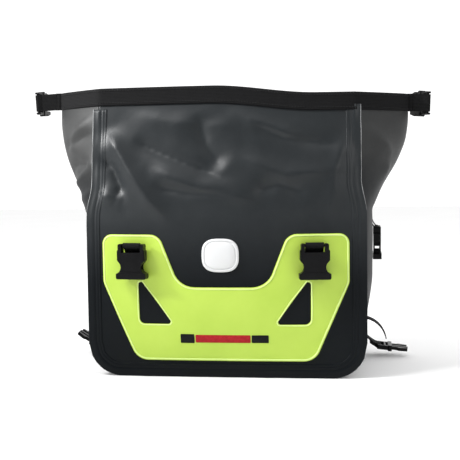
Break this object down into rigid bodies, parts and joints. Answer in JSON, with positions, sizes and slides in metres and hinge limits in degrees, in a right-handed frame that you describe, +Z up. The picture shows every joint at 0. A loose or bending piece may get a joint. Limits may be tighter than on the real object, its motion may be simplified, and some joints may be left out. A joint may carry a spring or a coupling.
{
  "type": "roll-top tail bag",
  "caption": "Upright roll-top waterproof tail bag with an open mouth, side wings, lime front patch, plastic side-release buckles and webbing straps.",
  "frame": {"origin": "on the floor under the middle of the bag's flat bottom", "axes": "+X to the bag's right as seen from the front, along its width; the front faces -Y; +Z up"},
  "size_m": [0.5977, 0.2561, 0.4197],
  "materials": {
    "tarpaulin": "satin PVC-coated tarpaulin",
    "webbing": "woven polyester webbing",
    "buckle_plastic": "moulded acetal",
    "lime_film": "welded coated film",
    "badge_plastic": "soft moulded",
    "print_ink": "screen print",
    "board": "sheet polyethylene"
  },
  "bodies": {
    "bag": {"front_panel": "tarpaulin", "back_panel": "tarpaulin", "left_gusset": "tarpaulin", "right_gusset": "tarpaulin", "bottom_gusset": "tarpaulin", "left_wing": "tarpaulin", "right_wing": "tarpaulin", "left_wing_hem": "webbing", "right_wing_hem": "webbing", "front_seam_flange": "tarpaulin", "back_seam_flange": "tarpaulin", "base_board": "board", "back_board": "board", "lime_patch": "lime_film", "badge": "badge_plastic", "print_bars": "print_ink", "left_front_tab": "webbing", "right_front_tab": "webbing", "left_hem_loop": "webbing", "right_hem_loop": "webbing", "left_side_tab": "webbing", "right_side_tab": "webbing", "left_strap_anchor": "webbing", "right_strap_anchor": "webbing", "left_tie_tab": "webbing", "right_tie_tab": "webbing", "left_tie_strap": "webbing", "right_tie_strap": "webbing"},
    "front_lip": {"front_lip_panel": "tarpaulin", "front_hem_band": "webbing", "front_hem_stiffener": "board"},
    "back_lip": {"back_lip_panel": "tarpaulin", "back_hem_band": "webbing", "back_hem_stiffener": "board"},
    "left_front_buckle": {"left_front_socket": "buckle_plastic"},
    "left_hem_buckle": {"left_hem_plug": "buckle_plastic"},
    "left_side_buckle": {"left_side_socket": "buckle_plastic"},
    "left_closing": {"left_closing_strap": "webbing", "left_closing_plug": "buckle_plastic"},
    "left_tie_down": {"left_tie_plug": "buckle_plastic"},
    "right_front_buckle": {"right_front_socket": "buckle_plastic"},
    "right_hem_buckle": {"right_hem_plug": "buckle_plastic"},
    "right_side_buckle": {"right_side_socket": "buckle_plastic"},
    "right_closing": {"right_closing_strap": "webbing", "right_closing_plug": "buckle_plastic"},
    "right_tie_down": {"right_tie_plug": "buckle_plastic"}
  },
  "joints": [
    {"name": "front_lip_fold", "type": "hinge", "parent": "bag", "child": "front_lip", "pos_m": [0, -0.104, 0.254], "axis": [-1, 0, 0], "range_deg": [-6, 18]},
    {"name": "back_lip_fold", "type": "hinge", "parent": "bag", "child": "back_lip", "pos_m": [0, 0.104, 0.254], "axis": [1, 0, 0], "range_deg": [-6, 18]},
    {"name": "left_front_buckle_swing", "type": "hinge", "parent": "bag", "child": "left_front_buckle", "pos_m": [-0.12798, -0.12062, 0.19], "axis": [-0.9907, 0.136, 0], "range_deg": [0, 170]},
    {"name": "right_front_buckle_swing", "type": "hinge", "parent": "bag", "child": "right_front_buckle", "pos_m": [0.12798, -0.12062, 0.19], "axis": [-0.9907, -0.136, 0], "range_deg": [0, 170]},
    {"name": "left_hem_buckle_swing", "type": "hinge", "parent": "bag", "child": "left_hem_buckle", "pos_m": [-0.29846, 0, 0.40043], "axis": [-0.0523, 0, 0.9986], "range_deg": [0, 192]},
    {"name": "right_hem_buckle_swing", "type": "hinge", "parent": "bag", "child": "right_hem_buckle", "pos_m": [0.28949, 0, 0.38827], "axis": [-0.0349, 0, -0.9994], "range_deg": [0, 218]},
    {"name": "left_side_buckle_swing", "type": "hinge", "parent": "bag", "child": "left_side_buckle", "pos_m": [-0.217, 0.052, 0.203], "axis": [0, 1, 0], "range_deg": [0, 110]},
    {"name": "left_closing_strap_swing", "type": "hinge", "parent": "bag", "child": "left_closing", "pos_m": [-0.1265, 0.11462, 0.24], "axis": [1, 0, 0], "range_deg": [0, 150]},
    {"name": "left_tie_down_lift", "type": "hinge", "parent": "bag", "child": "left_tie_down", "pos_m": [-0.226, 0.078, 0.01], "axis": [0, 1, 0], "range_deg": [-38, 4]},
    {"name": "right_side_buckle_swing", "type": "hinge", "parent": "bag", "child": "right_side_buckle", "pos_m": [0.217, 0.052, 0.203], "axis": [0, -1, 0], "range_deg": [0, 110]},
    {"name": "right_closing_strap_swing", "type": "hinge", "parent": "bag", "child": "right_closing", "pos_m": [0.1265, 0.11462, 0.24], "axis": [1, 0, 0], "range_deg": [0, 150]},
    {"name": "right_tie_down_lift", "type": "hinge", "parent": "bag", "child": "right_tie_down", "pos_m": [0.22, 0.078, 0.016], "axis": [0, -1, 0], "range_deg": [0, 28]}
  ]
}
